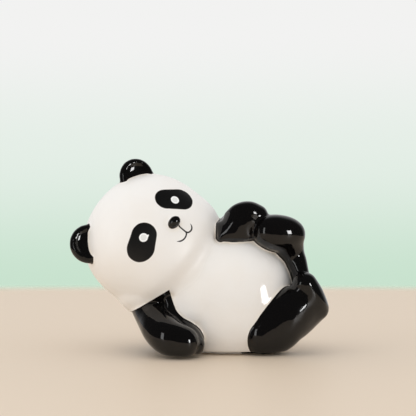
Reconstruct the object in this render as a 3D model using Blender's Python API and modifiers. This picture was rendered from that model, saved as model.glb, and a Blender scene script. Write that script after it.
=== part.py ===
# Panda figurine lying on its side, one glazed ceramic casting
#
# Modelled in metres, +Z up. The belly faces -Y and the feet point to +X.
# Every lobe of the body is a rounded solid, and all of them are fused into one skin,
# as the clay of a mould casting is.
import math

import bmesh
import bpy
from mathutils import Matrix, Vector

# The figure is drawn in shares of its own length, from the tip of the left ear to the heel
FIGURE_LENGTH = 0.099
DRAWN_LENGTH = 99
UNIT = FIGURE_LENGTH / DRAWN_LENGTH

# The fused skin: its grid, how far the glaze fills its creases, and the share of faces kept
SKIN_GRID = 0.7 * UNIT
CREASE_PASSES = 3
FACE_SHARE = 0.075

# The flat that it stands on is cut at this height, through the lobes that reach below it
GROUND = 0.0
CUTTER_SIZE = 160 * UNIT
CUTTER_DEPTH = 40 * UNIT

# The head lies over to the left and is turned a little out of the line of the shoulders
CROWN = Vector((-0.797, 0, 0.603))
SIDE = Vector((0.603, 0, 0.797))
FRONT = Vector((0, -1, 0))
HEAD_TURN = math.radians(23)
THIGH_TURN = math.radians(15)

# Ears: the bowl pressed into the front, as shares of the ear's half width and half thickness
EAR_BOWL_RIM = 0.76
EAR_BOWL_DEPTH = 0.34
EAR_BOWL_POWER = 5

# Nose: half width, half thickness and half length, a low button on the face
NOSE_RADII = (2.1, 2.2, 2.7)

GLAZE_COLOUR = (0.86, 0.83, 0.80, 1)
GLAZE_ROUGHNESS = 0.12


def turn_to(up, front):
    """Rotation whose Z is up and whose -Y is front, made square."""
    z = up.normalized()
    y = -front.normalized()
    y = (y - z * y.dot(z)).normalized()
    x = y.cross(z)
    return Matrix((x, y, z)).transposed().to_4x4()


def tilt(degrees):
    return Matrix.Rotation(math.radians(degrees), 4, "Y")


def lobe(bm, centre, radii, turn=None, round_power=2.0, up_power=2.0, down_power=2.0,
         down_radius=None, press=None, fineness=4):
    """A ball with three radii; powers above 2 square its shoulders, above or below."""
    verts = bmesh.ops.create_icosphere(bm, subdivisions=fineness, radius=1.0)["verts"]
    for vert in verts:
        x, y, z = vert.co
        girth = (abs(x) ** round_power + abs(y) ** round_power) ** (1 / round_power)
        power = up_power if z > 0 else down_power
        point = vert.co / (girth**power + abs(z) ** power) ** (1 / power)
        if press:
            point = press(point)
        height = down_radius if down_radius and point.z < 0 else radii[2]
        vert.co = Vector((point.x * radii[0], point.y * radii[1], point.z * height)) * UNIT
    place = Matrix.Translation(Vector(centre) * UNIT) @ (turn or Matrix.Identity(4))
    bmesh.ops.transform(bm, matrix=place, verts=verts)


def limb(bm, stations, steps=6):
    """Balls along a smooth curve; a station is a centre and three radii."""
    rows = [Vector(station) for station in stations]
    rows = [rows[0] * 2 - rows[1], *rows, rows[-1] * 2 - rows[-2]]
    beads = []
    for i in range(1, len(rows) - 2):
        a, b, c, d = rows[i - 1 : i + 3]
        for step in range(steps):
            t = step / steps
            slope = (c - a) * t
            bend = (2 * a - 5 * b + 4 * c - d) * t**2
            twist = (3 * b - a - 3 * c + d) * t**3
            beads.append(0.5 * (2 * b + slope + bend + twist))
    beads.append(rows[-2])
    for bead in beads:
        lobe(bm, bead[0:3], bead[3:6], fineness=3)


def dished(point):
    """Presses a shallow bowl into the front of an ear, inside its rim."""
    reach = math.hypot(point.x, point.z) / EAR_BOWL_RIM
    if point.y >= 0 or reach >= 1:
        return point
    rim = math.sqrt(1 - EAR_BOWL_RIM**2)
    return Vector((point.x, EAR_BOWL_DEPTH * (1 - reach**EAR_BOWL_POWER) - rim, point.z))


def add_trunk(bm):
    """Belly, chest, and the shoulder that it lies on."""
    lobe(bm, (8.8, 20, 17.4), (25.2, 24.5, 29.4), round_power=2.4, up_power=2.2,
         down_power=2.6, down_radius=24.1)
    lobe(bm, (-3.2, 18, 19.0), (18, 21.5, 18), round_power=2.2, up_power=2.2, down_power=2.2)
    lobe(bm, (-12.4, 17, 14.5), (14.3, 14, 13.8), down_radius=14.9)


def add_head(bm):
    """Broad cheeks and chin under a rounder crown, and the neck below them."""
    face = math.cos(HEAD_TURN) * FRONT + math.sin(HEAD_TURN) * SIDE
    lobe(bm, (-21.8, 17, 41.9), (25.6, 22, 25.4), turn_to(CROWN, face), round_power=2.15,
         up_power=2.15, down_power=3.4, down_radius=21.9)
    lobe(bm, (-10.9, 17, 29.9), (18, 18, 18))
    lobe(bm, (-23.1, 14, 26.1), (13, 15.4, 13))
    lobe(bm, (-12.5, -2.0, 49.8), NOSE_RADII, turn_to(Vector((0.7, 0, 0.7)), face))


def add_ears(bm):
    upper = turn_to(Vector((-0.18, 0.16, 0.97)), Vector((0.33, -1, 0.2)))
    lower = turn_to(Vector((-0.98, -0.16, -0.09)), Vector((0.3, -1, 0.3)))
    lobe(bm, (-27.5, 15, 66.7), (6.8, 3.6, 7.3), upper, press=dished)
    lobe(bm, (-45.0, 6.3, 41.3), (7.6, 4.0, 7.3), lower, press=dished)


def add_lower_arm(bm):
    """The arm that props the chest, and the thin ridge that runs beside it to the hand."""
    limb(bm, [
        (-22.9, 8.2, 16.8, 6.1, 6.1, 6.1),
        (-19.8, 1.2, 14.5, 6.8, 6.8, 6.8),
        (-16.6, -4.8, 9.6, 7.0, 7.0, 7.0),
        (-13.4, -7.9, 7.2, 6.7, 6.7, 6.7),
        (-9.2, -8.8, 6.1, 6.0, 6.0, 6.0),
    ])
    limb(bm, [
        (-15.6, 3.0, 22.6, 2.3, 3.4, 2.3),
        (-14.5, 1.8, 19.5, 2.3, 3.4, 2.3),
        (-13.2, 0.6, 15.6, 2.3, 3.4, 2.3),
        (-10.4, -0.6, 12.4, 2.3, 3.4, 2.3),
        (-7.3, -2.2, 10.2, 2.3, 3.4, 2.3),
        (-4.9, -3.6, 8.1, 2.4, 3.6, 2.4),
        (-3.8, -4.8, 5.3, 2.6, 3.8, 2.6),
        (-4.1, -5.2, 3.5, 2.6, 3.8, 2.6),
    ])


def add_upper_arm(bm):
    """The arm along the top of the body: hand, a roll over it, forearm and cuff."""
    limb(bm, [
        (10.0, 14.0, 46.1, 6.8, 9.0, 7.0),
        (13.0, 13.5, 47.9, 7.4, 9.2, 7.5),
        (15.9, 13.2, 49.4, 7.6, 9.0, 7.8),
    ])
    limb(bm, [
        (9.6, 8.8, 50.9, 3.6, 4.6, 3.6),
        (12.8, 7.4, 52.4, 4.4, 5.0, 4.4),
        (16.2, 6.6, 52.9, 4.6, 5.0, 4.6),
        (19.3, 7.4, 51.9, 4.3, 5.0, 4.3),
    ])
    lobe(bm, (11.2, 9.2, 45.9), (7.4, 7.4, 3.5), round_power=3.0, up_power=2.2, down_power=5.0)
    lobe(bm, (12.6, 8.6, 49.4), (7.0, 6.9, 5.0), tilt(-20), round_power=2.6)
    limb(bm, [
        (4.8, 9.6, 48.6, 1.3, 4.2, 1.3),
        (4.6, 8.6, 46.0, 1.3, 4.4, 1.3),
        (4.7, 7.6, 43.4, 1.3, 4.4, 1.3),
    ])


def add_upper_leg(bm):
    """The bent leg: thigh, shin and foot over the end of the body."""
    thigh_turn = Matrix.Rotation(THIGH_TURN, 4, "Z") @ tilt(8)
    lobe(bm, (26.9, 7.4, 45.3), (10.1, 7.9, 7), thigh_turn, round_power=2.2, up_power=2.2,
         down_power=2.2)
    limb(bm, [
        (30.4, 8.8, 42.0, 6.0, 5.8, 6.0),
        (32.8, 9.8, 37.2, 3.9, 7.2, 4.6),
        (33.8, 10.2, 34.5, 3.5, 8.0, 4.0),
        (34.6, 10.4, 31.5, 3.2, 8.6, 3.8),
        (35.5, 10.6, 27.0, 3.2, 9.2, 4.4),
        (36.6, 15.0, 23.5, 3.6, 8.0, 5.2),
    ])
    lobe(bm, (33.0, 9.6, 37.0), (4.0, 7.4, 7.5), tilt(-18), round_power=3.6)
    lobe(bm, (34.9, 9.8, 30.5), (3.2, 8.2, 7.0), tilt(-18), round_power=3.6)
    lobe(bm, (39.8, 26, 20.8), (4.8, 6.4, 8.3), tilt(-20))


def add_lower_leg(bm):
    """The leg on the ground, its foot turned up, and the sole that joins them."""
    limb(bm, [
        (20.8, 4.2, 7.6, 8.6, 10.3, 8.8),
        (24.9, 4.0, 10.5, 10.3, 10.2, 10.4),
        (28.9, 3.6, 13.9, 9.8, 9.4, 9.9),
        (32.4, 3.2, 16.9, 8.6, 8.2, 8.8),
        (35.0, 3.0, 19.0, 6.8, 7.0, 7.2),
    ])
    limb(bm, [
        (36.2, 1.8, 26.1, 4.8, 5.6, 4.9),
        (37.4, 3.0, 22.6, 5.8, 6.4, 5.6),
        (39.4, 4.2, 19.2, 5.4, 6.0, 5.4),
        (40.9, 5.6, 17.0, 4.8, 5.4, 4.8),
    ])
    limb(bm, [
        (40.8, 7.0, 16.9, 4.9, 5.4, 4.9),
        (37.6, 6.4, 15.0, 5.7, 6.6, 5.7),
        (34.6, 5.6, 13.3, 6.5, 7.6, 6.5),
        (31.5, 5.0, 11.9, 7.3, 8.6, 7.3),
    ])


def new_collection(name):
    collection = bpy.data.collections.new(name)
    bpy.context.scene.collection.children.link(collection)
    return collection


def glaze():
    material = bpy.data.materials.new("white_and_black_glaze")
    material.use_nodes = True
    shader = material.node_tree.nodes["Principled BSDF"]
    shader.inputs["Base Color"].default_value = GLAZE_COLOUR
    shader.inputs["Roughness"].default_value = GLAZE_ROUGHNESS
    shader.inputs["Metallic"].default_value = 0.0
    return material


def ground_cutter(collection):
    """A slab whose top is the flat that the figure stands on."""
    bm = bmesh.new()
    bmesh.ops.create_cube(bm, size=1.0)
    bmesh.ops.scale(bm, vec=(CUTTER_SIZE, CUTTER_SIZE, CUTTER_DEPTH), verts=bm.verts)
    middle = Vector((0, 0, GROUND - CUTTER_DEPTH / 2))
    bmesh.ops.translate(bm, vec=middle, verts=bm.verts)
    mesh = bpy.data.meshes.new("ground_cutter")
    bm.to_mesh(mesh)
    bm.free()
    cutter = bpy.data.objects.new("ground_cutter", mesh)
    cutter.display_type = "WIRE"
    cutter.hide_render = True
    collection.objects.link(cutter)
    return cutter


def fuse(figure, cutter):
    """One skin over every lobe, its creases softened, its faces thinned, its base cut flat."""
    skin = figure.modifiers.new("one_skin", "REMESH")
    skin.mode = "VOXEL"
    skin.voxel_size = SKIN_GRID
    soften = figure.modifiers.new("glaze_in_creases", "SMOOTH")
    soften.factor = 0.5
    soften.iterations = CREASE_PASSES
    thin = figure.modifiers.new("fewer_faces", "DECIMATE")
    thin.ratio = FACE_SHARE
    flat = figure.modifiers.new("flat_base", "BOOLEAN")
    flat.operation = "DIFFERENCE"
    flat.solver = "EXACT"
    flat.object = cutter


def centre_on_base(figure, holder):
    """Puts the middle of the finished figure's footprint box on the origin."""
    graph = bpy.context.evaluated_depsgraph_get()
    finished = figure.evaluated_get(graph)
    corners = [Vector(corner) for corner in finished.bound_box]
    for axis in (0, 1):
        places = [corner[axis] for corner in corners]
        holder.location[axis] = -(min(places) + max(places)) / 2
    holder.location.z = -min(corner.z for corner in corners)


def main():
    for obj in list(bpy.data.objects):
        bpy.data.objects.remove(obj, do_unlink=True)
    figures = new_collection("panda_figurine")
    cutters = new_collection("cutters")

    bm = bmesh.new()
    add_trunk(bm)
    add_head(bm)
    add_ears(bm)
    add_lower_arm(bm)
    add_upper_arm(bm)
    add_upper_leg(bm)
    add_lower_leg(bm)
    mesh = bpy.data.meshes.new("panda_figurine")
    bm.to_mesh(mesh)
    bm.free()
    mesh.materials.append(glaze())

    figure = bpy.data.objects.new("panda_figurine", mesh)
    figures.objects.link(figure)
    cutter = ground_cutter(cutters)
    holder = bpy.data.objects.new("base_centre", None)
    figures.objects.link(holder)
    figure.parent = holder
    cutter.parent = holder
    fuse(figure, cutter)
    centre_on_base(figure, holder)


main()
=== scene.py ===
# %% [markdown]
# # A panda figurine in glazed ceramic
#
# The real thing is one hollow casting: slip poured into a plaster mould, fired, painted
# and glazed. So the model is one closed skin with no seams, and everything that is only
# colour on the real piece is only colour here.

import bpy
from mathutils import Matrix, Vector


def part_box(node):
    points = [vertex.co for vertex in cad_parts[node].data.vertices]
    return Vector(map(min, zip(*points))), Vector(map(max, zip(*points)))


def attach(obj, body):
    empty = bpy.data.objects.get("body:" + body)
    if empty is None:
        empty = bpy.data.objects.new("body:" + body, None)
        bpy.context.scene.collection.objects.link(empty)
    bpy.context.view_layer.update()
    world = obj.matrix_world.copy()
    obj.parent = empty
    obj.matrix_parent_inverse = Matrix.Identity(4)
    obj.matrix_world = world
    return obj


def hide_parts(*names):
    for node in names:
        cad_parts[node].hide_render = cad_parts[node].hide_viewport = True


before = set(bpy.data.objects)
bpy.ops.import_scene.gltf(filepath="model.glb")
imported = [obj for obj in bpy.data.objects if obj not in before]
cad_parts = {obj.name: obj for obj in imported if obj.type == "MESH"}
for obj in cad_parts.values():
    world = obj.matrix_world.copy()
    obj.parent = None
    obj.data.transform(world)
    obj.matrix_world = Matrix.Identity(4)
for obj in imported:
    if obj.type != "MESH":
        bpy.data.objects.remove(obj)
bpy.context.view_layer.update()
NODE = "panda_figurine"

# %% [markdown]
# ## The drawing
#
# A small figure is easier to draw in millimetres than in metres, so every place below is in
# millimetres on a drawing whose ground is z = 0. The belly looks along -Y and the feet point
# along +X. The length of the solid gives the scale, so the figure follows the solid's size.

# %% Units
import math

import bmesh
import bpy
import numpy as np
from mathutils import Matrix, Vector
from mathutils.bvhtree import BVHTree
from mathutils.kdtree import KDTree

DRAWN_LENGTH = 97.69
UNIT = (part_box(NODE)[1][0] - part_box(NODE)[0][0]) / DRAWN_LENGTH
print("one unit is", round(UNIT * 1000, 4), "mm")

# %% [markdown]
# ## Lobes
#
# A sculptor builds such a panda from balls of clay pressed together. A lobe here is a sphere
# with three radii. A power above 2 squares its shoulders, which turns a ball into the fuller
# shape that a moulded belly has. The head gets a rounder crown than chin, so its upper and
# lower halves have their own height and power.

# %% A lobe
BALL_FINENESS = 6


def lobe(centre, radii, turn=None, round_power=2.0, up_power=2.0, down_power=2.0,
         down_radius=None, press=None):
    """Mesh of a ball stretched to three radii and squared off by its powers."""
    bm = bmesh.new()
    bmesh.ops.create_icosphere(bm, subdivisions=BALL_FINENESS, radius=1.0)
    for vert in bm.verts:
        x, y, z = vert.co
        girth = (abs(x) ** round_power + abs(y) ** round_power) ** (1 / round_power)
        power = up_power if z > 0 else down_power
        point = vert.co / (girth**power + abs(z) ** power) ** (1 / power)
        if press:
            point = press(point)
        height = down_radius if down_radius and point.z < 0 else radii[2]
        vert.co = Vector((point.x * radii[0], point.y * radii[1], point.z * height))
    bmesh.ops.transform(bm, matrix=Matrix.Translation(centre) @ (turn or Matrix.Identity(4)),
                        verts=bm.verts)
    mesh = bpy.data.meshes.new("lobe")
    bm.to_mesh(mesh)
    bm.free()
    return mesh


def turn_to(up, front):
    """Rotation whose Z is up and whose -Y is front, made square."""
    z = up.normalized()
    y = -front.normalized()
    y = (y - z * y.dot(z)).normalized()
    x = y.cross(z)
    return Matrix((x, y, z)).transposed().to_4x4()


def tilt(degrees):
    return Matrix.Rotation(math.radians(degrees), 4, "Y")


# %% [markdown]
# ## Limbs
#
# An arm or a leg is a run of balls along a curve. That is work for Geometry Nodes: the tree
# takes a row of points, puts a ball on each and stretches it by the point's own three radii.

# %% The tree that turns a row of points into a limb
def limb_tree():
    tree = bpy.data.node_groups.new("balls along a limb", "GeometryNodeTree")
    tree.interface.new_socket("Beads", in_out="INPUT", socket_type="NodeSocketGeometry")
    fineness = tree.interface.new_socket("Ball fineness", in_out="INPUT", socket_type="NodeSocketInt")
    skin = tree.interface.new_socket("Clay", in_out="INPUT", socket_type="NodeSocketMaterial")
    tree.interface.new_socket("Limb", in_out="OUTPUT", socket_type="NodeSocketGeometry")
    nodes, link = tree.nodes, tree.links.new
    start = nodes.new("NodeGroupInput")
    ball = nodes.new("GeometryNodeMeshIcoSphere")
    radii = nodes.new("GeometryNodeInputNamedAttribute")
    radii.data_type = "FLOAT_VECTOR"
    radii.inputs["Name"].default_value = "radii"
    place = nodes.new("GeometryNodeInstanceOnPoints")
    real = nodes.new("GeometryNodeRealizeInstances")
    paint = nodes.new("GeometryNodeSetMaterial")
    end = nodes.new("NodeGroupOutput")
    link(start.outputs["Ball fineness"], ball.inputs["Subdivisions"])
    link(start.outputs["Beads"], place.inputs["Points"])
    link(ball.outputs["Mesh"], place.inputs["Instance"])
    link(radii.outputs["Attribute"], place.inputs["Scale"])
    link(place.outputs["Instances"], real.inputs["Geometry"])
    link(real.outputs["Geometry"], paint.inputs["Geometry"])
    link(start.outputs["Clay"], paint.inputs["Material"])
    link(paint.outputs["Geometry"], end.inputs["Limb"])
    return tree, fineness.identifier, skin.identifier


LIMB_TREE, FINENESS_INPUT, CLAY_INPUT = limb_tree()
CLAY = bpy.data.materials.new("clay")
LIMB_FINENESS = 5
STEPS_PER_STATION = 8
print("limb tree has", len(LIMB_TREE.nodes), "nodes")


# %% A limb from its stations
def smooth_rows(stations, steps=STEPS_PER_STATION):
    """Rows of numbers on a smooth curve through the stations."""
    rows = [np.array(row, float) for row in stations]
    rows = [rows[0] * 2 - rows[1], *rows, rows[-1] * 2 - rows[-2]]
    curve = []
    for a, b, c, d in zip(rows, rows[1:], rows[2:], rows[3:]):
        for step in range(steps):
            t = step / steps
            slope = (c - a) * t
            bend = (2 * a - 5 * b + 4 * c - d) * t**2
            twist = (3 * b - a - 3 * c + d) * t**3
            curve.append(0.5 * (2 * b + slope + bend + twist))
    curve.append(rows[-2])
    return np.array(curve)


def limb(stations):
    """Mesh of balls along a curve; a station is a centre and three radii."""
    beads = smooth_rows(stations)
    mesh = bpy.data.meshes.new("beads")
    mesh.from_pydata(beads[:, 0:3].tolist(), [], [])
    radii = mesh.attributes.new("radii", "FLOAT_VECTOR", "POINT")
    radii.data.foreach_set("vector", beads[:, 3:6].ravel())
    holder = bpy.data.objects.new("beads", mesh)
    bpy.context.scene.collection.objects.link(holder)
    nodes = holder.modifiers.new("limb", "NODES")
    nodes.node_group = LIMB_TREE
    nodes[FINENESS_INPUT] = LIMB_FINENESS
    nodes[CLAY_INPUT] = CLAY
    graph = bpy.context.evaluated_depsgraph_get()
    made = bpy.data.meshes.new_from_object(holder.evaluated_get(graph))
    bpy.data.objects.remove(holder, do_unlink=True)
    return made


# %% [markdown]
# ## Head and trunk
#
# The head lies over to the left and is turned a little out of the line of the shoulders. Its
# own axes are kept, because the face is drawn on them later.

# %% The head's axes
CROWN = Vector((-0.797, 0, 0.603))
SIDE = Vector((0.603, 0, 0.797))
FRONT = Vector((0, -1, 0))
HEAD_TURN = math.radians(23)
FACE = math.cos(HEAD_TURN) * FRONT + math.sin(HEAD_TURN) * SIDE
HEAD_AXES = turn_to(CROWN, FACE)
HEAD_MIDDLE = Vector((-21.8, 17, 41.9))

# %% Head, nose and neck
HEAD = [
    lobe(HEAD_MIDDLE, (25.6, 22, 25.4), HEAD_AXES, round_power=2.15, up_power=2.15,
         down_power=3.4, down_radius=21.9),
]
NECK = [
    lobe((-10.9, 17, 29.9), (18, 18, 18)),
    lobe((-23.1, 14, 26.1), (13, 15.4, 13)),
]
NOSE = [lobe((-12.5, -2.5, 49.8), (2.1, 2.4, 2.7), turn_to(Vector((0.7, 0, 0.7)), FACE))]

# %% Belly, chest and the shoulder it lies on
BELLY = [
    lobe((8.8, 20, 17.4), (25.2, 24.5, 29.4), round_power=2.4, up_power=2.2, down_power=2.6,
         down_radius=24.1),
    lobe((-3.2, 18, 19.0), (18, 21.5, 18), round_power=2.2, up_power=2.2, down_power=2.2),
]
SHOULDER = [lobe((-12.4, 17, 14.5), (14.3, 14, 13.8), down_radius=14.9)]

# %% [markdown]
# ## Ears
#
# Each ear is a thick disc set on the crown, with a dish pressed into its front so that a
# rounded rim is left standing. The rim is what catches the light.

# %% Two dished ears
DISH_RIM = 0.76
DISH_DEPTH = 0.34
DISH_POWER = 5


def dished(point):
    """Presses a shallow bowl into the front of an ear, inside its rim."""
    reach = math.hypot(point.x, point.z) / DISH_RIM
    if point.y >= 0 or reach >= 1:
        return point
    rim = math.sqrt(1 - DISH_RIM**2)
    return Vector((point.x, DISH_DEPTH * (1 - reach**DISH_POWER) - rim, point.z))


UPPER_EAR = lobe((-27.5, 15, 66.7), (6.8, 3.6, 7.3),
                 turn_to(Vector((-0.18, 0.16, 0.97)), Vector((0.33, -1, 0.2))), press=dished)
LOWER_EAR = lobe((-45.0, 6.3, 41.3), (7.6, 4.0, 7.3),
                 turn_to(Vector((-0.98, -0.16, -0.09)), Vector((0.3, -1, 0.3))), press=dished)
EARS = [UPPER_EAR, LOWER_EAR]

# %% [markdown]
# ## Arms and legs
#
# The lower arm props the chest, and a thin ridge of clay runs beside it to the hand. The upper
# arm lies along the top of the body. One leg is bent over the end of the body with its foot
# behind, and the other lies on the ground with its foot turned up.

# %% Lower arm: forearm and paw, and the ridge
LOWER_ARM = limb([
    (-22.9, 8.2, 16.8, 6.1, 6.1, 6.1),
    (-20.2, 3.2, 13.4, 6.6, 6.6, 6.6),
    (-17.4, -2.6, 9.9, 6.9, 6.9, 6.9),
    (-14.0, -7.2, 7.4, 6.7, 6.7, 6.7),
    (-9.2, -8.8, 6.1, 6.0, 6.0, 6.0),
])
ARM_RIDGE = limb([
    (-15.6, 3.0, 22.6, 2.3, 3.4, 2.3),
    (-14.5, 1.8, 19.5, 2.3, 3.4, 2.3),
    (-13.2, 0.6, 15.6, 2.3, 3.4, 2.3),
    (-10.4, -0.6, 12.4, 2.3, 3.4, 2.3),
    (-7.3, -2.2, 10.2, 2.3, 3.4, 2.3),
    (-4.9, -3.6, 8.1, 2.4, 3.6, 2.4),
    (-3.8, -4.8, 5.3, 2.6, 3.8, 2.6),
    (-4.1, -5.2, 3.5, 2.6, 3.8, 2.6),
])

# %% Upper arm: the hand's ball, the roll over it, the forearm and the cuff at the shoulder
UPPER_ARM = limb([
    (10.0, 14.0, 46.1, 6.8, 9.0, 7.0),
    (13.0, 13.5, 47.9, 7.4, 9.2, 7.5),
    (15.9, 13.2, 49.4, 7.6, 9.0, 7.8),
])
UPPER_ROLL = limb([
    (9.4, 9.0, 50.9, 3.6, 4.6, 3.6),
    (12.2, 7.8, 52.4, 4.4, 5.0, 4.4),
    (15.4, 7.8, 52.9, 4.6, 5.0, 4.6),
    (18.6, 9.2, 51.9, 4.3, 5.0, 4.3),
])
FOREARM_TURN = Matrix.Rotation(math.radians(12), 4, "Z")
FOREARM = [
    lobe((10.6, 9.8, 45.9), (7.1, 7.4, 3.5), FOREARM_TURN, round_power=3.0, up_power=2.2,
         down_power=5.0),
    lobe((12.6, 9.4, 49.4), (7.4, 7.2, 5.4), FOREARM_TURN @ tilt(-20), round_power=2.6),
]
CUFF = limb([
    (4.8, 9.6, 48.6, 1.3, 4.2, 1.3),
    (4.6, 8.6, 46.0, 1.3, 4.4, 1.3),
    (4.7, 7.6, 43.4, 1.3, 4.4, 1.3),
])

# %% Bent leg: thigh, shin, the calf that fills in behind it, and the foot
THIGH_TURN = Matrix.Rotation(math.radians(15), 4, "Z") @ tilt(8)
THIGH = lobe((26.9, 7.4, 45.3), (10.1, 7.9, 7), THIGH_TURN, round_power=2.2, up_power=2.2,
             down_power=2.2)
SHIN = limb([
    (30.4, 8.8, 42.0, 6.0, 5.8, 6.0),
    (32.5, 10.8, 37.6, 4.3, 4.6, 4.6),
    (33.9, 9.8, 34.2, 3.8, 4.4, 4.0),
    (34.9, 8.4, 31.0, 3.3, 4.2, 3.8),
    (35.8, 7.2, 27.0, 3.2, 4.2, 4.4),
])
CALF = limb([
    (31.4, 16.0, 38.0, 5.0, 7.4, 4.6),
    (33.0, 16.5, 32.0, 4.4, 7.5, 4.0),
    (34.4, 17.0, 27.0, 4.2, 8.0, 4.4),
    (36.6, 18.5, 23.5, 3.6, 8.0, 5.2),
])
HIDDEN_FOOT = lobe((39.8, 26, 20.8), (4.8, 6.4, 8.3), tilt(-20))

# %% Leg on the ground
LOWER_LEG = limb([
    (20.8, 4.2, 7.6, 8.6, 10.3, 8.8),
    (24.9, 4.0, 10.5, 10.3, 10.2, 10.4),
    (28.9, 3.6, 13.9, 9.8, 9.4, 9.9),
    (32.4, 3.2, 16.9, 8.6, 8.2, 8.8),
    (35.0, 3.6, 19.0, 6.8, 7.0, 7.2),
])
RAISED_FOOT = limb([
    (36.2, 1.8, 26.1, 4.8, 5.6, 4.9),
    (37.4, 3.0, 22.6, 5.8, 6.4, 5.6),
    (39.4, 4.2, 19.2, 5.4, 6.0, 5.4),
    (40.9, 5.6, 17.0, 4.8, 5.4, 4.8),
])
SOLE = limb([
    (40.8, 7.0, 16.9, 4.9, 5.4, 4.9),
    (37.6, 6.4, 15.0, 5.7, 6.6, 5.7),
    (34.6, 5.6, 13.3, 6.5, 7.6, 6.5),
    (31.5, 5.0, 11.9, 7.3, 8.6, 7.3),
])

# %% [markdown]
# ## One skin
#
# Voxel remeshing melts all lobes into one closed surface of even faces, as the slip in the
# mould does. Whatever reaches below the ground is pressed flat on it. Then the skin is relaxed,
# which rounds its edges and fills the creases as glaze does. The head runs into the chest in a
# broad soft hollow, and the leg into its foot, so those places are relaxed for longer.

# %% Remesh, flatten and relax
SKIN_GRID = 0.54
RELAX_PASSES = 5
FOOT_GAP = 1.2
FOOT_INSET = 3.5
RIM_BAND = 1.0


def joined(meshes, name):
    bm = bmesh.new()
    for mesh in meshes:
        bm.from_mesh(mesh)
    whole = bpy.data.meshes.new(name)
    bm.to_mesh(whole)
    bm.free()
    return whole


def modified(mesh, *settings):
    """The mesh after a stack of modifiers, each a type and its settings."""
    holder = bpy.data.objects.new("holder", mesh)
    bpy.context.scene.collection.objects.link(holder)
    for kind, values in settings:
        modifier = holder.modifiers.new(kind.lower(), kind)
        for name, value in values.items():
            setattr(modifier, name, value)
    graph = bpy.context.evaluated_depsgraph_get()
    made = bpy.data.meshes.new_from_object(holder.evaluated_get(graph))
    bpy.data.objects.remove(holder, do_unlink=True)
    return made


def places(mesh):
    flat = np.empty(len(mesh.vertices) * 3)
    mesh.vertices.foreach_get("co", flat)
    return flat.reshape(-1, 3)


def set_places(mesh, points):
    mesh.vertices.foreach_set("co", points.ravel())
    mesh.update()


WHITE_PARTS = HEAD + NECK + BELLY
ARM_PARTS = [*SHOULDER, LOWER_ARM, ARM_RIDGE]
UPPER_LIMBS = [UPPER_ARM, UPPER_ROLL, *FOREARM, CUFF, THIGH, SHIN, CALF]
LEG_PARTS = [LOWER_LEG, RAISED_FOOT, SOLE]
BLACK_PARTS = [*NOSE, *EARS, *ARM_PARTS, *UPPER_LIMBS, HIDDEN_FOOT, *LEG_PARTS]
skin = modified(joined(WHITE_PARTS + BLACK_PARTS, "lobes"),
                ("REMESH", {"mode": "VOXEL", "voxel_size": SKIN_GRID}))
points = places(skin)
print("skin:", len(skin.vertices), "points,", len(skin.polygons), "faces")


# %% The foot that it stands on
def rim_distance(points, inside):
    """How far each inside point lies from the nearest point that isn't inside, seen from above."""
    rim = points[~inside & (points[:, 2] < FOOT_GAP + RIM_BAND)]
    tree = KDTree(len(rim))
    for index, (x, y, _) in enumerate(rim.tolist()):
        tree.insert((x, y, 0), index)
    tree.balance()
    return np.array([tree.find((x, y, 0))[2] for x, y, _ in points[inside].tolist()])


pressed = points[:, 2] < FOOT_GAP
from_rim = rim_distance(points, pressed)
points[pressed, 2] = np.where(from_rim > FOOT_INSET, 0.0, FOOT_GAP)
set_places(skin, points)
print("stands on", int((from_rim > FOOT_INSET).sum()), "points")


# %% Relaxing
def relaxed(mesh, values, passes, amount=0.5):
    """Values on the points, each pass moved some way to the mean of their neighbours."""
    ends = np.empty(len(mesh.edges) * 2, dtype=np.int64)
    mesh.edges.foreach_get("vertices", ends)
    a, b = ends.reshape(-1, 2).T
    size = len(values)
    count = np.bincount(a, minlength=size) + np.bincount(b, minlength=size)
    for _ in range(passes):
        total = np.bincount(a, values[b], size) + np.bincount(b, values[a], size)
        values = values + amount * (total / count - values)
    return values


def relaxed_places(mesh, points, passes, amount=0.5):
    return np.column_stack([relaxed(mesh, points[:, axis], passes, amount) for axis in range(3)])


def fading(values, whole, none):
    """1 where values are at whole, 0 where they are at none, and a smooth fall between."""
    share = np.clip((values - none) / (whole - none), 0, 1)
    return share * share * (3 - 2 * share)


# Each spot: its middle, the radius that is wholly relaxed, where that ends, and the passes
SOFT_SPOTS = [
    (Vector((31.0, 5, 40.0)), 4, 7, 20),
    (Vector((36.5, 0, 15.0)), 5, 9, 60),
    (Vector((35.0, -4, 19.5)), 4, 8, 60),
    (Vector((9.5, 3, 49.0)), 5, 8, 60),
]
points = relaxed_places(skin, points, RELAX_PASSES)
for middle, inner, outer, passes in SOFT_SPOTS:
    away = np.linalg.norm(points - np.array(middle), axis=1)
    points = relaxed_places(skin, points, passes, 0.5 * fading(away, inner, outer))

# %% [markdown]
# ## Where the black glaze goes
#
# The painter follows the creases between the lobes. A point belongs to the black if it is
# nearer to a black lobe than to a white one, and the difference of the two distances is kept
# on the skin as a number in millimetres: below zero is black. The material turns that number
# into a crisp edge, so the edge is much finer than the faces.

# %% Distances to groups of lobes
def distance_to(meshes, points):
    bm = bmesh.new()
    for mesh in meshes:
        bm.from_mesh(mesh)
    tree = BVHTree.FromBMesh(bm)
    bm.free()
    return np.array([tree.find_nearest(point)[3] for point in points.tolist()])


to_head = distance_to(HEAD + NECK, points)
to_belly = distance_to(BELLY, points)
to_lower_arm = distance_to(ARM_PARTS, points)
to_ears = distance_to(EARS, points)
to_top_limbs = distance_to(UPPER_LIMBS, points)
to_leg = distance_to(LEG_PARTS, points)
to_hidden_foot = distance_to([HIDDEN_FOOT], points)
to_white = np.minimum(to_head, to_belly)

# %% The soft hollow between head and chest
HOLLOW_PASSES = 160
HOLLOW_REACH = (2.5, 8.0)
LIMB_GUARD = (2.5, 0.8)

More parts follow.
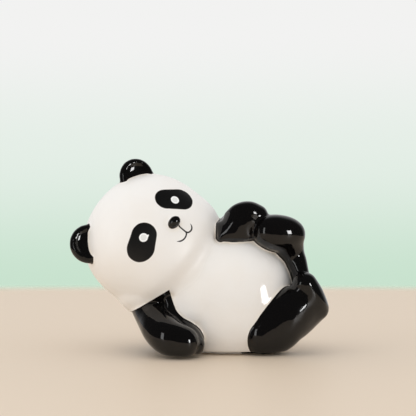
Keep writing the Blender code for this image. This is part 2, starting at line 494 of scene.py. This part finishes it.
hollow = fading(np.abs(to_head - to_belly), *HOLLOW_REACH)
hollow *= fading(np.minimum(to_lower_arm, to_top_limbs), *LIMB_GUARD)
points = relaxed_places(skin, points, HOLLOW_PASSES, 0.5 * hollow)
low, high = points.min(axis=0), points.max(axis=0)
print("skin box:", low.round(2), high.round(2))

# %% The painted edge
SEAM_LEFT = Vector((-28.7, 5, 15.9))
SEAM_RIGHT = Vector((-14.8, -2, 24.4))
SEAM_RUN = Vector((0.1, 1, 0.1))
BAND_WIDTH = 10.0
BAND_FRONT = 15.0
HIDDEN_FOOT_FRONT = 12.0

seam_out = -np.array((SEAM_RIGHT - SEAM_LEFT).cross(SEAM_RUN).normalized())
if seam_out[2] < 0:
    seam_out = -seam_out
above_seam = (points - np.array(SEAM_LEFT)) @ seam_out
arm_edge = np.maximum(to_lower_arm - to_belly, above_seam)
band_edge = np.maximum.reduce([to_belly - to_head, to_head - BAND_WIDTH, BAND_FRONT - points[:, 1]])
hidden_edge = np.maximum(to_hidden_foot - to_white, HIDDEN_FOOT_FRONT - points[:, 1])
paint_edge = np.minimum.reduce([to_ears - to_white, to_top_limbs - to_white, to_leg - to_white,
                                hidden_edge, arm_edge, band_edge])
print("black share of the skin:", round(float((paint_edge < 0).mean()), 3))

# %% [markdown]
# ## The face
#
# Eyes and mouth are brushed on flat, so they are paint, not clay. They are drawn on the head's
# own axes: across the face, and up towards the crown. Each eye patch is the band that wraps
# round two discs, and has a white dot in it. The nose is a small button of clay with a dab of
# black over it.

# %% Eye patches, their dots and the nose
FACE_DEPTH = -8.0
EYE_PATCHES = [
    ((-7.2, 3.3, 4.6), (-11.6, 1.3, 5.0)),
    ((9.6, 5.05, 4.2), (13.8, 0.43, 4.6)),
]
NOSE_DAB = (3.05, -2.76)
NOSE_DAB_RADII = (1.95, 2.6)
NOSE_TURN = math.radians(-97)
EYE_DOTS = [(-8.2, 2.87, 1.6), (-6.6, 1.9, 0.35), (11.6, 2.16, 1.6)]

on_head = (points - np.array(HEAD_MIDDLE)) @ np.array(HEAD_AXES.to_3x3())
across, depth, upward = on_head.T
facing = depth < FACE_DEPTH
FAR = 9.0


def disc(x, z, radius):
    return np.hypot(across - x, upward - z) - radius


def wrapped(one, other):
    """Distance to the band round two discs, each a place and a radius."""
    run = np.array(other) - np.array(one)
    along = (across - one[0]) * run[0] + (upward - one[1]) * run[1]
    share = np.clip(along / (run[0] ** 2 + run[1] ** 2), 0, 1)
    return disc(*(start + share * step for start, step in zip(one, run)))


def oval(place, radii, turn):
    """About the distance to an oval, turned by an angle."""
    x, z = across - place[0], upward - place[1]
    u = x * math.cos(turn) + z * math.sin(turn)
    v = z * math.cos(turn) - x * math.sin(turn)
    return (np.hypot(u / radii[0], v / radii[1]) - 1) * min(radii)


patches = [wrapped(one, other) for one, other in EYE_PATCHES]
eye_edge = np.where(facing, np.minimum.reduce(patches), FAR)
dot_edge = np.where(facing, np.minimum.reduce([disc(*dot) for dot in EYE_DOTS]), FAR)
nose_edge = np.where(facing, oval(NOSE_DAB, NOSE_DAB_RADII, NOSE_TURN), FAR)
paint_edge = np.minimum.reduce([paint_edge, eye_edge, nose_edge])
print("eye patches cover", round(float((eye_edge < 0).mean()) * 100, 2), "% of the skin")

# %% What the skin remembers for the materials
def keep(mesh, name, values):
    attribute = mesh.attributes.new(name, "FLOAT", "POINT")
    attribute.data.foreach_set("value", values)


def normals(mesh):
    flat = np.empty(len(mesh.vertices) * 3)
    mesh.vertices.foreach_get("normal", flat)
    return flat.reshape(-1, 3)


# How far each point sits inside a crease; the glaze uses this to paint shade into the creases
CREASE_REACH = 60
CREASE_SOFTENING = 4
GROUND_BAND = 0.6
softer = relaxed_places(skin, points, CREASE_REACH)
crease = ((softer - points) * normals(skin)).sum(axis=1)
crease[points[:, 2] < GROUND_BAND] = 0
satin = fading(to_head - to_belly, -1.0, 5.0) * fading(paint_edge, 0.3, -0.3)
satin = np.maximum(satin, eye_edge < 0)
keep(skin, "black_edge", paint_edge)
keep(skin, "satin", satin)
keep(skin, "dot_edge", dot_edge)
keep(skin, "crease", relaxed(skin, crease, CREASE_SOFTENING))
keep(skin, "height", points[:, 2])
keep(skin, "face_across", np.where(facing, across, -FAR * 3))
keep(skin, "face_up", upward)
print("deepest crease, millimetres:", round(float(crease.max()), 2))

# %% From the drawing to the frame
solid_low, solid_high = (np.array(corner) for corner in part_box(NODE))
SHIFT = np.array([
    (solid_low[0] + solid_high[0]) / 2 - UNIT * (low[0] + high[0]) / 2,
    (solid_low[1] + solid_high[1]) / 2 - UNIT * (low[1] + high[1]) / 2,
    solid_low[2],
])


def in_frame(place):
    return Vector(np.array(place, float) * UNIT + SHIFT)


set_places(skin, points * UNIT + SHIFT)
for face in skin.polygons:
    face.use_smooth = True
panda = bpy.data.objects.new("glazed_panda", skin)
bpy.context.scene.collection.objects.link(panda)
print("shift to the frame, millimetres:", (SHIFT * 1000).round(3))

# %% [markdown]
# ## Small tools for materials
#
# A material is a sum of simple measures. These helpers keep the sums short: a value is either a
# number or the output of another node.

# %% Shader helpers
def linear(red, green, blue):
    """A screen colour, 0 to 255, as the linear colour that a shader takes."""
    shares = [value / 255 for value in (red, green, blue)]
    return (*[s / 12.92 if s <= 0.04045 else ((s + 0.055) / 1.055) ** 2.4 for s in shares], 1)


def plug(tree, socket, value):
    if isinstance(value, bpy.types.NodeSocket):
        tree.links.new(value, socket)
    else:
        socket.default_value = value


def maths(tree, operation, *values):
    node = tree.nodes.new("ShaderNodeMath")
    node.operation = operation
    for socket, value in zip(node.inputs, values):
        plug(tree, socket, value)
    return node.outputs["Value"]


def stored(tree, name):
    node = tree.nodes.new("ShaderNodeAttribute")
    node.attribute_name = name
    return node.outputs["Fac"]


def ramp(tree, value, low, high, to_low=0.0, to_high=1.0):
    """A value between low and high, spread smoothly over another range."""
    node = tree.nodes.new("ShaderNodeMapRange")
    node.interpolation_type = "SMOOTHSTEP"
    for name, number in (("Value", value), ("From Min", low), ("From Max", high),
                         ("To Min", to_low), ("To Max", to_high)):
        plug(tree, node.inputs[name], number)
    return node.outputs["Result"]


def mixed(tree, share, a, b):
    node = tree.nodes.new("ShaderNodeMix")
    node.data_type = "RGBA"
    plug(tree, node.inputs["Factor"], share)
    plug(tree, node.inputs["A"], a)
    plug(tree, node.inputs["B"], b)
    return node.outputs["Result"]


def noise(tree, size, detail=2.0):
    """Noise on Object coordinates, whose lumps are about that many millimetres apart."""
    where = tree.nodes.new("ShaderNodeTexCoord")
    node = tree.nodes.new("ShaderNodeTexNoise")
    node.inputs["Scale"].default_value = 1 / (size * UNIT)
    node.inputs["Detail"].default_value = detail
    tree.links.new(where.outputs["Object"], node.inputs["Vector"])
    return node.outputs["Fac"]


# %% [markdown]
# ## The mouth
#
# One thin stroke runs down from the nose and forks into two hooks. A hook is an arc through
# three points, and the brush lifts off at its end, so the line thins out there. The strokes are
# finer than the faces, so the material works them out from the face's own two axes.

# %% Mouth strokes
NOSE_TIP = Vector((3.41, -4.6))
FORK = Vector((3.33, -8.64))
HOOKS = [
    (Vector((4.57, -9.46)), Vector((6.09, -9.38)), Vector((7.14, -8.19))),
    (Vector((1.66, -9.35)), Vector((-0.29, -9.09)), Vector((-1.59, -8.13))),
]
STROKE = 0.29
LIFT_OFF = 1.0
THIN_END = 0.3
INK_SOFTNESS = 0.08


def circle_through(a, b, c):
    """Centre and radius of the circle through three points."""
    turn = 2 * (a.x * (b.y - c.y) + b.x * (c.y - a.y) + c.x * (a.y - b.y))
    squares = [point.length_squared for point in (a, b, c)]
    x = (squares[0] * (b.y - c.y) + squares[1] * (c.y - a.y) + squares[2] * (a.y - b.y)) / turn
    y = (squares[0] * (c.x - b.x) + squares[1] * (a.x - c.x) + squares[2] * (b.x - a.x)) / turn
    centre = Vector((x, y))
    return centre, (a - centre).length


def length(tree, x, y):
    squares = maths(tree, "ADD", maths(tree, "MULTIPLY", x, x), maths(tree, "MULTIPLY", y, y))
    return maths(tree, "SQRT", squares)


def stem_ink(tree, across, upward, start, end):
    """How deep a point lies in a straight stroke, in millimetres; above zero is inked."""
    run = (end - start).normalized()
    x = maths(tree, "SUBTRACT", across, start.x)
    y = maths(tree, "SUBTRACT", upward, start.y)
    along = maths(tree, "ADD", maths(tree, "MULTIPLY", x, run.x), maths(tree, "MULTIPLY", y, run.y))
    aside = maths(tree, "SUBTRACT", maths(tree, "MULTIPLY", x, run.y),
                  maths(tree, "MULTIPLY", y, run.x))
    past = maths(tree, "SUBTRACT", along, (end - start).length)
    outside = maths(tree, "MAXIMUM", maths(tree, "MULTIPLY", along, -1.0), past)
    off_line = maths(tree, "MAXIMUM", maths(tree, "ABSOLUTE", aside), outside)
    return maths(tree, "SUBTRACT", STROKE, off_line)


def hook_ink(tree, across, upward, start, hook):
    """The same for an arc from start to the last point of the hook."""
    middle, _, end = hook
    centre, radius = circle_through(start, middle, end)
    x = maths(tree, "SUBTRACT", across, centre.x)
    y = maths(tree, "SUBTRACT", upward, centre.y)
    aside = maths(tree, "ABSOLUTE", maths(tree, "SUBTRACT", length(tree, x, y), radius))
    chord = (end - start).normalized()
    out = Vector((chord.y, -chord.x))
    if out.dot(middle - start) < 0:
        out = -out
    x = maths(tree, "SUBTRACT", across, start.x)
    y = maths(tree, "SUBTRACT", upward, start.y)
    beyond = maths(tree, "ADD", maths(tree, "MULTIPLY", x, out.x), maths(tree, "MULTIPLY", y, out.y))
    along = maths(tree, "ADD", maths(tree, "MULTIPLY", x, chord.x), maths(tree, "MULTIPLY", y, chord.y))
    left = maths(tree, "SUBTRACT", (end - start).length + STROKE, along)
    width = maths(tree, "MULTIPLY", STROKE, ramp(tree, left, 0.0, LIFT_OFF, THIN_END, 1.0))
    ink = maths(tree, "SUBTRACT", width, aside)
    return maths(tree, "MINIMUM", ink, maths(tree, "ADD", beyond, STROKE))


def mouth_ink(tree):
    across, upward = stored(tree, "face_across"), stored(tree, "face_up")
    ink = stem_ink(tree, across, upward, NOSE_TIP, FORK)
    for hook in HOOKS:
        ink = maths(tree, "MAXIMUM", ink, hook_ink(tree, across, upward, FORK, hook))
    return ink


# %% [markdown]
# ## Glaze
#
# White and black are two glazes on one skin, melted to a wet gloss that is more satin on the
# head. The white is a touch creamier in random mottled patches, and it is also painted darker
# and creamier in the creases as painted shade. The black is brushed on by hand, so its edge
# wavers by a few tenths of a millimetre, and where it thins out at the edge it fires brown.
# Under the flat base the clay is bare: a glazed foot would stick to the kiln shelf.

# %% Glaze colours and sizes
WHITE = linear(240, 237, 232)
# The cream serves both the random mottle and the painted shade in the creases
CREAM_AND_CREASE_SHADE = linear(235, 227, 215)
BLACK = linear(9, 8, 8)
THIN_BLACK = linear(38, 27, 20)
DOT = linear(248, 248, 246)
DOT_MIDDLE = linear(228, 228, 225)
INK = linear(26, 19, 16)
BARE_CLAY = linear(222, 212, 196)
DARK_CLAY = linear(206, 194, 176)
EDGE_WAVER = 0.35
EDGE_SHAKE = 0.12
WAVER_SIZE = 7.0
SHAKE_SIZE = 1.6
MOTTLE_SIZE = 14.0
GLOSS_SIZE = 5.0
RIPPLE_SIZE = 9.0
FINE_RIPPLE_SIZE = 3.0
GRAIN_SIZE = 0.5
EDGE_SOFTNESS = 0.10
BARE_HEIGHT = 0.25
SATIN_ROUGHNESS = 0.42
GLOSS_LOW = 0.045
GLOSS_HIGH = 0.085
BARE_ROUGHNESS = 0.8
THIN_REACH = 0.45
CREASE_SHADE_RANGE = (0.02, 0.6)
MOTTLE = 0.22
RIPPLE_DEPTH = 0.22
FINE_RIPPLE = 0.22
GLAZE_IOR = 1.45


# %% The glaze material
def glaze_material():
    material = bpy.data.materials.new("white and black glaze")
    material.use_nodes = True
    tree = material.node_tree
    shader = tree.nodes["Principled BSDF"]

    wander = maths(tree, "SUBTRACT", noise(tree, WAVER_SIZE), 0.5)
    tremble = maths(tree, "SUBTRACT", noise(tree, SHAKE_SIZE), 0.5)
    waver = maths(tree, "MULTIPLY", wander, EDGE_WAVER)
    shake = maths(tree, "MULTIPLY", tremble, EDGE_SHAKE)
    edge = maths(tree, "ADD", stored(tree, "black_edge"), maths(tree, "ADD", waver, shake))
    is_white = ramp(tree, edge, -EDGE_SOFTNESS, EDGE_SOFTNESS)
    is_thin = ramp(tree, edge, -THIN_REACH, 0.0)
    # Painted shade: the white turns darker and creamier the deeper the skin lies in a crease
    crease_shade = ramp(tree, stored(tree, "crease"), *CREASE_SHADE_RANGE)
    mottled = ramp(tree, noise(tree, MOTTLE_SIZE, 3.0), 0.35, 0.7, 0.0, MOTTLE)
    cream_and_shade = maths(tree, "MINIMUM", maths(tree, "ADD", crease_shade, mottled), 1.0)
    white = mixed(tree, cream_and_shade, WHITE, CREAM_AND_CREASE_SHADE)
    black = mixed(tree, is_thin, BLACK, THIN_BLACK)
    colour = mixed(tree, is_white, black, white)

    dot = stored(tree, "dot_edge")
    is_dot = ramp(tree, dot, EDGE_SOFTNESS, -EDGE_SOFTNESS)
    dot_paint = mixed(tree, ramp(tree, dot, -0.3, -0.7), DOT, DOT_MIDDLE)
    colour = mixed(tree, is_dot, colour, dot_paint)
    inked = ramp(tree, mouth_ink(tree), -INK_SOFTNESS, INK_SOFTNESS)
    colour = mixed(tree, inked, colour, INK)

    height = stored(tree, "height")
    bare = ramp(tree, height, BARE_HEIGHT, BARE_HEIGHT * 0.6)
    clay = mixed(tree, noise(tree, GRAIN_SIZE, 4.0), BARE_CLAY, DARK_CLAY)
    plug(tree, shader.inputs["Base Color"], mixed(tree, bare, colour, clay))

    gloss = ramp(tree, noise(tree, GLOSS_SIZE), 0.3, 0.7, GLOSS_LOW, GLOSS_HIGH)
    satin = maths(tree, "MULTIPLY", stored(tree, "satin"), SATIN_ROUGHNESS)
    glazed = maths(tree, "MAXIMUM", gloss, satin)
    rough = maths(tree, "MAXIMUM", glazed, maths(tree, "MULTIPLY", bare, BARE_ROUGHNESS))
    plug(tree, shader.inputs["Roughness"], rough)

    lumps = maths(tree, "ADD", noise(tree, RIPPLE_SIZE, 1.0),
                  maths(tree, "MULTIPLY", noise(tree, FINE_RIPPLE_SIZE, 1.0), FINE_RIPPLE))
    ripple = tree.nodes.new("ShaderNodeBump")
    ripple.inputs["Strength"].default_value = 1.0
    ripple.inputs["Distance"].default_value = RIPPLE_DEPTH * UNIT
    plug(tree, ripple.inputs["Height"], lumps)
    plug(tree, shader.inputs["Normal"], ripple.outputs["Normal"])
    shader.inputs["IOR"].default_value = GLAZE_IOR
    return material


skin.materials.clear()
skin.materials.append(glaze_material())
print("glaze nodes:", len(skin.materials[0].node_tree.nodes))

# %% Into the frame
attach(panda, "root")
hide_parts(NODE)

# %% [markdown]
# ## Camera
#
# The figure is seen from straight in front, from a little above its own height, through a
# long lens that keeps the head and the feet in proportion.

# %% Camera
CAMERA_DISTANCE = 430
CAMERA_HEIGHT = 60.5
LENS = 100
SENSOR_WIDTH = 36
HORIZON_DROP = math.radians(0.7437)

camera_data = bpy.data.cameras.new("camera")
camera_data.lens = LENS
camera_data.sensor_width = SENSOR_WIDTH
camera_data.clip_start = 0.01
camera = bpy.data.objects.new("camera", camera_data)
bpy.context.scene.collection.objects.link(camera)
bpy.context.scene.camera = camera
camera.location = in_frame((0, -CAMERA_DISTANCE, CAMERA_HEIGHT))
camera.rotation_euler = (math.pi / 2 - HORIZON_DROP, 0, 0)

# %% [markdown]
# ## Floor and backdrop
#
# A plain pale board to stand on, which fades into a plain pale backdrop behind it. Its warm tone
# matters for the figure too: it is what the lower half of the black glaze mirrors.

# %% Floor
FLOOR_REACH = 322
FLOOR_FADE = 60
FLOOR_COLOUR = linear(224, 206, 184)
CORNER_POWER = 4.0

floor_mesh = bpy.data.meshes.new("floor")
bm = bmesh.new()
bmesh.ops.create_grid(bm, x_segments=1, y_segments=1, size=FLOOR_REACH * UNIT)
bm.to_mesh(floor_mesh)
bm.free()
floor = bpy.data.objects.new("floor", floor_mesh)
bpy.context.scene.collection.objects.link(floor)


def floor_material():
    material = bpy.data.materials.new("pale floor")
    material.use_nodes = True
    tree = material.node_tree
    shader = tree.nodes["Principled BSDF"]
    where = tree.nodes.new("ShaderNodeTexCoord")
    split = tree.nodes.new("ShaderNodeSeparateXYZ")
    tree.links.new(where.outputs["Object"], split.inputs["Vector"])
    sides = [maths(tree, "POWER", maths(tree, "ABSOLUTE", split.outputs[axis]), CORNER_POWER)
             for axis in "XY"]
    reach = maths(tree, "POWER", maths(tree, "ADD", *sides), 1 / CORNER_POWER)
    solid = ramp(tree, reach, FLOOR_REACH * UNIT, (FLOOR_REACH - FLOOR_FADE) * UNIT)
    plug(tree, shader.inputs["Alpha"], solid)
    shader.inputs["Base Color"].default_value = FLOOR_COLOUR
    shader.inputs["Roughness"].default_value = 0.5
    shader.inputs["Specular IOR Level"].default_value = 0.2
    return material


floor_mesh.materials.append(floor_material())

# %% [markdown]
# ## Light
#
# A pale room lights the white evenly. Two lamps are only mirrored: a small bright window to the
# right, which is the crisp highlight on belly, knee and paw, and a tall soft box to the left. A
# third, wide and weak, only lights and isn't mirrored. The room that the glaze mirrors is darker
# than the one that lights it, as a studio with black cloth round the camera is, so the black
# stays black while the white stays flat.

# %% The room
ROOM_LOW = linear(200, 226, 206)
ROOM_MIDDLE = linear(228, 238, 230)
ROOM_HIGH = linear(242, 242, 241)
GLOW_LOW = (1.05, 1.06, 1.08, 1)
GLOW_HIGH = (1.06, 1.06, 1.07, 1)
MIRRORED_FRONT = (0.06, 0.06, 0.06, 1)
MIRRORED_BACK = (0.8, 0.8, 0.8, 1)


def room():
    world = bpy.data.worlds.new("studio")
    bpy.context.scene.world = world
    world.use_nodes = True
    tree = world.node_tree
    background = tree.nodes["Background"]
    where = tree.nodes.new("ShaderNodeTexCoord")
    split = tree.nodes.new("ShaderNodeSeparateXYZ")
    tree.links.new(where.outputs["Generated"], split.inputs["Vector"])
    height, behind = split.outputs["Z"], split.outputs["Y"]
    wall = mixed(tree, ramp(tree, height, -0.085, 0.04), ROOM_LOW, ROOM_MIDDLE)
    wall = mixed(tree, ramp(tree, height, 0.02, 0.14), wall, ROOM_HIGH)
    ray = tree.nodes.new("ShaderNodeLightPath")
    mirrored = mixed(tree, ramp(tree, behind, 0.3, 0.9), MIRRORED_FRONT, MIRRORED_BACK)
    glow = mixed(tree, ramp(tree, height, -0.1, 0.9), GLOW_LOW, GLOW_HIGH)
    lit = mixed(tree, ray.outputs["Is Camera Ray"], glow, wall)
    lit = mixed(tree, ray.outputs["Is Glossy Ray"], lit, mirrored)
    plug(tree, background.inputs["Color"], lit)


room()
bpy.context.scene.view_settings.view_transform = "Standard"


# %% Three lamps
LAMP_AIM = Vector((0, 15, 32))


def lamp(name, azimuth, elevation, distance, width, height, brightness):
    """A soft box seen from the figure at those angles; azimuth 0 is towards the camera."""
    turn, rise = math.radians(azimuth), math.radians(elevation)
    away = Vector((math.sin(turn) * math.cos(rise), -math.cos(turn) * math.cos(rise), math.sin(rise)))
    light = bpy.data.lights.new(name, "AREA")
    light.shape = "RECTANGLE"
    light.size = width * UNIT
    light.size_y = height * UNIT
    light.energy = brightness * math.pi * light.size * light.size_y
    holder = bpy.data.objects.new(name, light)
    bpy.context.scene.collection.objects.link(holder)
    holder.location = in_frame(LAMP_AIM + away * distance)
    holder.rotation_euler = (-away).to_track_quat("-Z", "Y").to_euler()
    return holder


window = lamp("window", 46, 8, 700, 140, 210, 22)
window.visible_diffuse = False
soft_box = lamp("tall soft box", -50, 8, 800, 130, 560, 3.2)
soft_box.visible_diffuse = False
fill = lamp("fill light", -60, 12, 800, 500, 500, 0.9)
fill.visible_glossy = False
